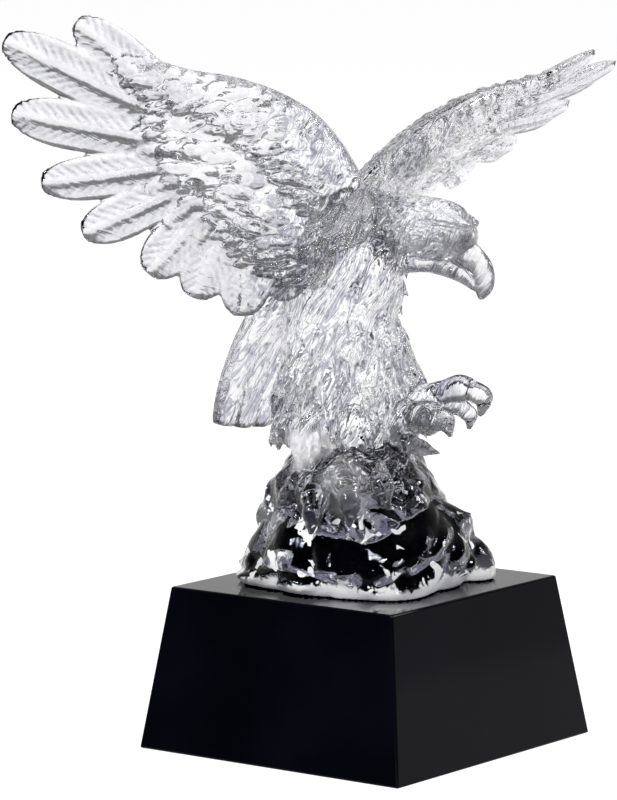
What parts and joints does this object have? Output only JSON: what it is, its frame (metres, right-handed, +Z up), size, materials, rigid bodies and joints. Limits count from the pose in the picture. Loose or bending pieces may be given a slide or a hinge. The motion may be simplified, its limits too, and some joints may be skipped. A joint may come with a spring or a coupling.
{
  "type": "crystal eagle sculpture",
  "caption": "Clear crystal eagle landing on a craggy rock with raised wings and open talons, cast as one, on a square tapered black glass plinth.",
  "frame": {"origin": "middle of the plinth's underside", "axes": "+Z up, +X the way the eagle's body faces, +Y the eagle's left; the left wing reaches towards +Y and the right wing towards -Y and back"},
  "size_m": [0.1427, 0.2725, 0.2932],
  "materials": {
    "black_glass": "black glass, polished to a mirror, with narrow polished edges",
    "clear_crystal": "clear cast crystal, fire polished"
  },
  "bodies": {
    "root": {"black_plinth": "black_glass", "crystal_eagle": "clear_crystal"}
  },
  "joints": []
}
